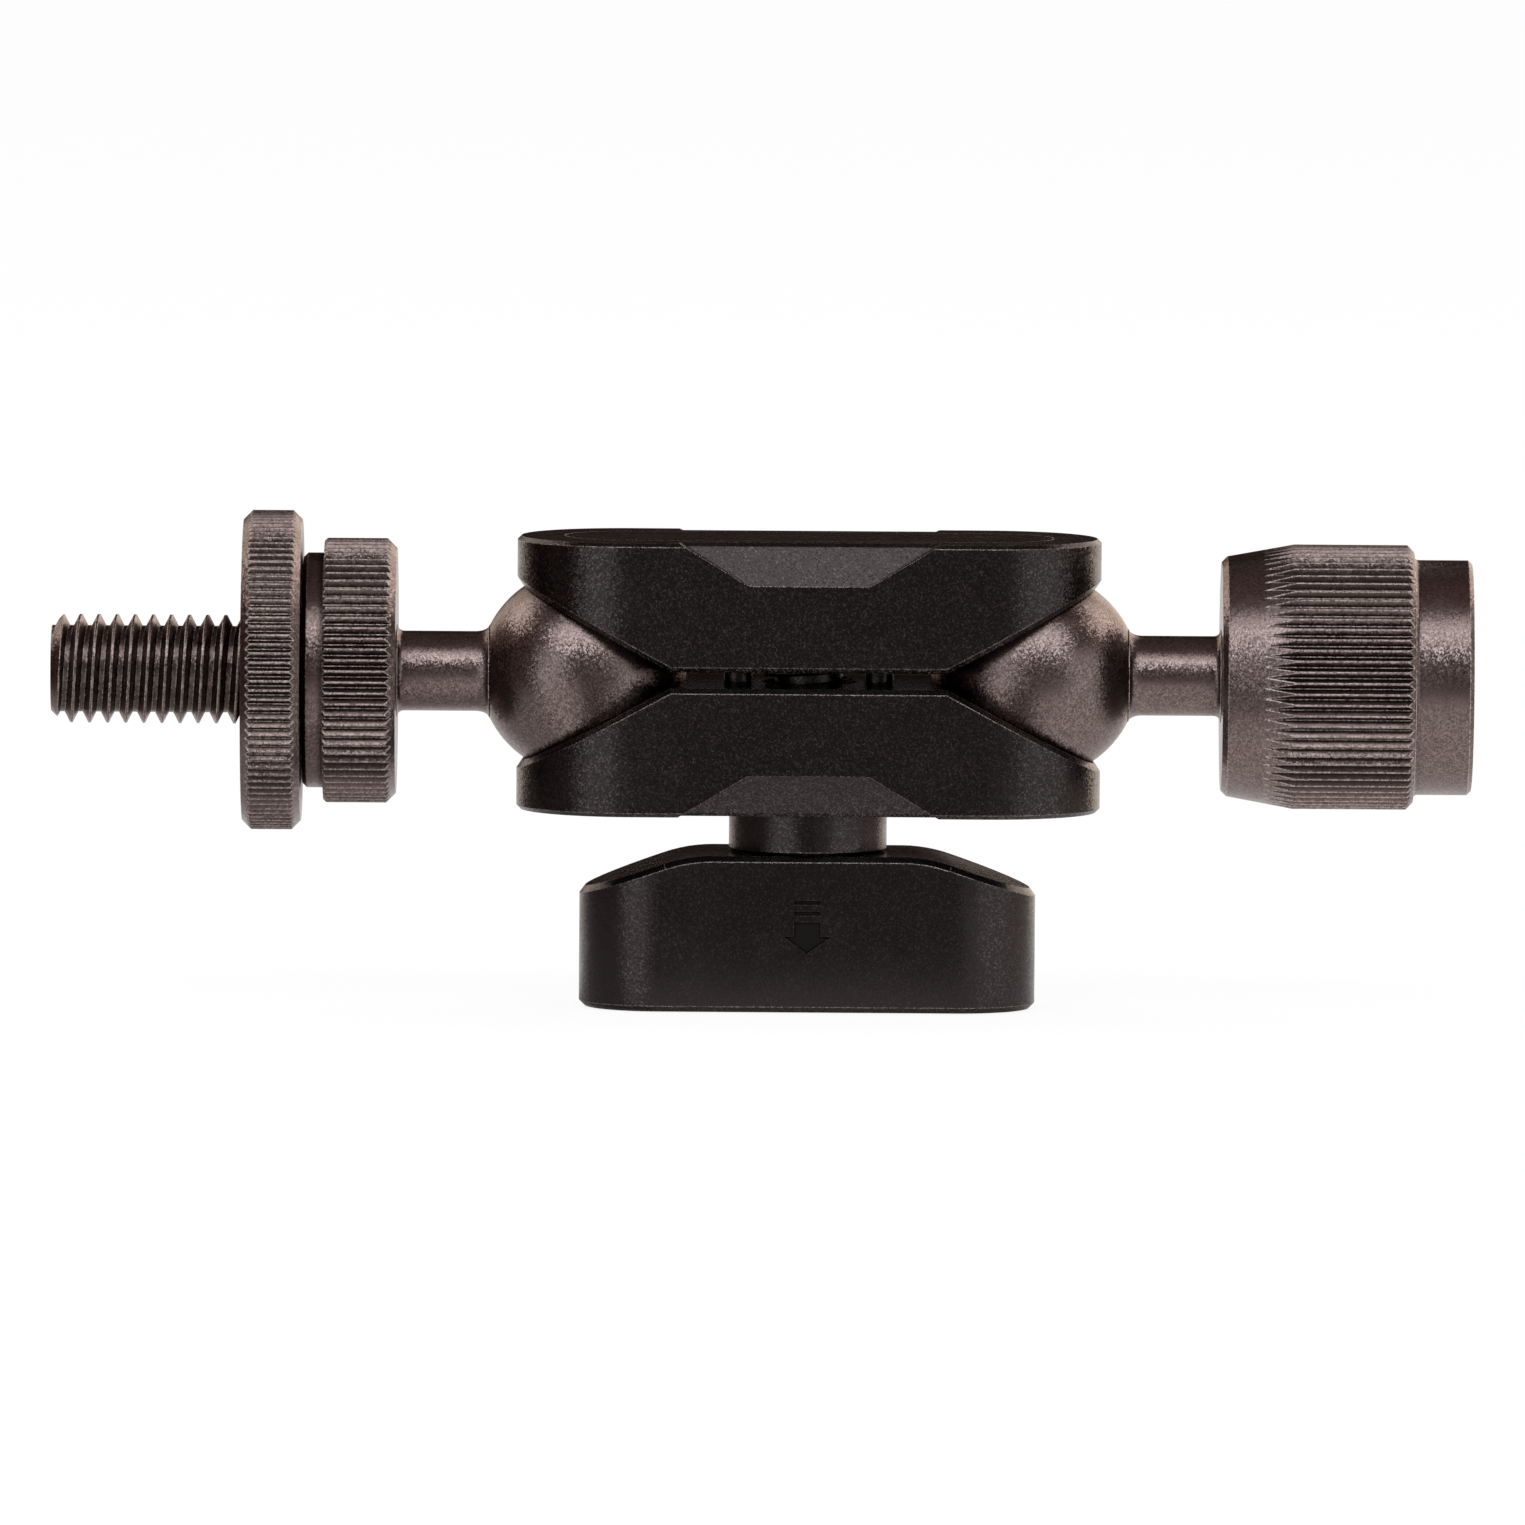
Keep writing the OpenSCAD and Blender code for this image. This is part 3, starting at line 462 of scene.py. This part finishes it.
# The share of the floor's look that is plain white, and the rest that shows the shadow
FLOOR_WHITE = .9
floor_mat = bpy.data.materials.new("pale_floor")
shader = Shader(floor_mat)
paper = shader.add("BsdfDiffuse", Color=rgba(.86, .86, .86)).outputs[0]
glow = shader.add("Emission", Color=rgba(1, 1, 1), Strength=1.0).outputs[0]
lit = shader.add("MixShader", _0=FLOOR_WHITE, _1=paper, _2=glow).outputs[0]
shader.add("OutputMaterial", Surface=white_behind(shader, lit, paper))
signs = [(-1, -1), (1, -1), (1, 1), (-1, 1)]
add_stage("floor", [(x * FLOOR_HALF, y * FLOOR_HALF, FLOOR_Z) for x, y in signs], [(0, 1, 2, 3)], floor_mat)

world = bpy.data.worlds.new("studio")
scene.world = world
shader = Shader(world)
white = shader.add("Background", Color=rgba(1, 1, 1), Strength=1.0).outputs[0]
ambient = shader.add("Background", Color=rgba(1, 1, 1), Strength=.9).outputs[0]
shader.add("OutputWorld", Surface=white_behind(shader, white, ambient))


# A tent that shows in reflections alone: mostly dark, with a grey front, a light strip on either side of it and
# warm light from behind, so that metal gets the light and dark bands of a photo studio

CLOTHS = {"dark": (.088, .046, .04), "back": (.03, .018, .016), "front": (.215, .19, .186),
          "left": (1.0, 1.0, 1.0), "right": (.93, .93, .93), "side": (.6, .53, .48),
          "warm": (1.0, .85, .72), "glow": (1.5, 1.27, 1.08),
          "near": (.86, .835, .82), "shade": (.5, .48, .47), "top": (.165, .12, .113)}
# Start and end azimuth of each cloth around the front, and of the light ones behind, up to an elevation
FRONT_BANDS = ((-54, -18, "left"), (-18, 36, "front"), (36, 81, "right"), (81, 117, "side"))
FRONT_TOP = 27
BACK_BANDS = ((-162, -135, "warm"), (126, 171, "glow"))
BACK_TOP = 36
# Past this azimuth, straight behind, the tent is darkest, and from this elevation on it is a little lighter
DARKEST_FROM = 162
OVERHEAD_FROM = 63
# Azimuths of the darker part of the mat below the object
SHADE_FROM, SHADE_TO = -126, -54
TENT_R = 3.2
MAT_R = .12
MAT_Z = .0002
# The cloths end here on the floor, so that the floor behind stays white
MATS_END = 153
STEP = 9


def cloth(name, colour):
    mat = bpy.data.materials.new("tent_" + name)
    shader = Shader(mat)
    shader.add("OutputMaterial", Surface=shader.add("Emission", Color=rgba(*colour)).outputs[0])
    return mat


cloths = [cloth(name, colour) for name, colour in CLOTHS.items()]


def zone(azimuth, elevation):
    """The cloth in a direction: azimuth is counted from the front to the right, both in degrees."""
    for top, bands in ((FRONT_TOP, FRONT_BANDS), (BACK_TOP, BACK_BANDS)):
        for start, end, name in bands:
            if elevation < top and start < azimuth < end:
                return name
    if elevation > OVERHEAD_FROM:
        return "top"
    return "back" if abs(azimuth) > DARKEST_FROM else "dark"


def towards(azimuth, elevation=0):
    """The direction of an azimuth and an elevation in degrees."""
    az, el = math.radians(azimuth), math.radians(elevation)
    return Vector((math.sin(az) * math.cos(el), -math.cos(az) * math.cos(el), math.sin(el)))


def add_cloths(name, sheets):
    """A piece of the tent, which only reflections see, from pairs of a cloth's name and its corners."""
    verts, faces = [], []
    for _, corners in sheets:
        faces.append(tuple(range(len(verts), len(verts) + len(corners))))
        verts += [tuple(c) for c in corners]
    piece = add_stage(name, verts, faces, cloths[0])
    for mat in cloths[1:]:
        piece.data.materials.append(mat)
    for face, (kind, _) in zip(piece.data.polygons, sheets):
        face.material_index = list(CLOTHS).index(kind)
    piece.visible_camera = piece.visible_diffuse = piece.visible_shadow = False


sheets = []
for el in range(0, 90, STEP):
    for az in range(-180, 180, STEP):
        corners = [(az, el), (az + STEP, el), (az + STEP, el + STEP), (az, el + STEP)]
        sheets.append((zone(az + STEP / 2, el + STEP / 2), [TENT_R * towards(*c) for c in corners]))
add_cloths("tent", sheets)

# The same cloths on the floor in front and at the sides, past a pale mat below the object
sheets = []
lift = Vector((0, 0, MAT_Z))
for az in range(-180, 180, STEP):
    start, end = towards(az), towards(az + STEP)
    below = "shade" if SHADE_FROM < az < SHADE_TO else "near"
    sheets.append((below, [lift, MAT_R * start + lift, MAT_R * end + lift]))
    if abs(az + STEP / 2) < MATS_END:
        ring = [MAT_R * start, TENT_R * start, TENT_R * end, MAT_R * end]
        sheets.append((zone(az + STEP / 2, 0), [c + lift for c in ring]))
# The handle, low as it is, sees the grey front from close by
GREY_HALF = .021
GREY_FROM = -.024
GREY_Z = .0003
grey = [(-GREY_HALF, GREY_FROM), (GREY_HALF, GREY_FROM), (GREY_HALF, -MAT_R), (-GREY_HALF, -MAT_R)]
sheets.append(("front", [(clamp_x + x, y, GREY_Z) for x, y in grey]))
add_cloths("mats", sheets)


# Lamps

middle = Vector((0, 0, axis_z))


def add_lamp(name, azimuth, elevation, distance, size, level, colour=(1, 1, 1)):
    """A soft lamp that faces the object. level is how bright its face is, whatever its size."""
    data = bpy.data.lights.new(name, "AREA")
    data.shape = "RECTANGLE"
    data.size, data.size_y = size
    data.energy = level * size[0] * size[1] / .25
    data.color = colour
    lamp = bpy.data.objects.new(name, data)
    scene.collection.objects.link(lamp)
    away = towards(azimuth, elevation)
    lamp.location = middle + away * distance
    lamp.rotation_euler = (-away).to_track_quat("-Z", "Y").to_euler()
    lamp.visible_camera = False


warm_white = (1, .93, .87)
add_lamp("softbox_front", 0, 47, 1.2, (1.6, .7), 1.92, (.96, 1, 1.02))
add_lamp("panel_left", -115, 38, 1.3, (.8, .5), 1.7, warm_white)
add_lamp("panel_right", 115, 38, 1.3, (.8, .5), 1.7, warm_white)
add_lamp("softbox_back", 180, 50, 1.3, (1.4, .3), .08)


# Camera

FRAME_W = 133.8 * MM
DISTANCE = 2.0
ELEVATION = math.radians(4.5)
ROLL = math.radians(.4)
look_at = Vector((.15 * MM, 0, axis_z - 7.88 * MM))
lens = bpy.data.cameras.new("camera")
lens.sensor_width = 36
lens.lens = lens.sensor_width * DISTANCE / FRAME_W
lens.clip_start, lens.clip_end = .01, 50
camera = bpy.data.objects.new("camera", lens)
scene.collection.objects.link(camera)
back = Vector((0, -math.cos(ELEVATION), math.sin(ELEVATION)))
camera.location = look_at + back * DISTANCE
camera.rotation_euler = (-back).to_track_quat("-Z", "Y").to_euler()
camera.rotation_euler.rotate_axis("Z", ROLL)
scene.camera = camera
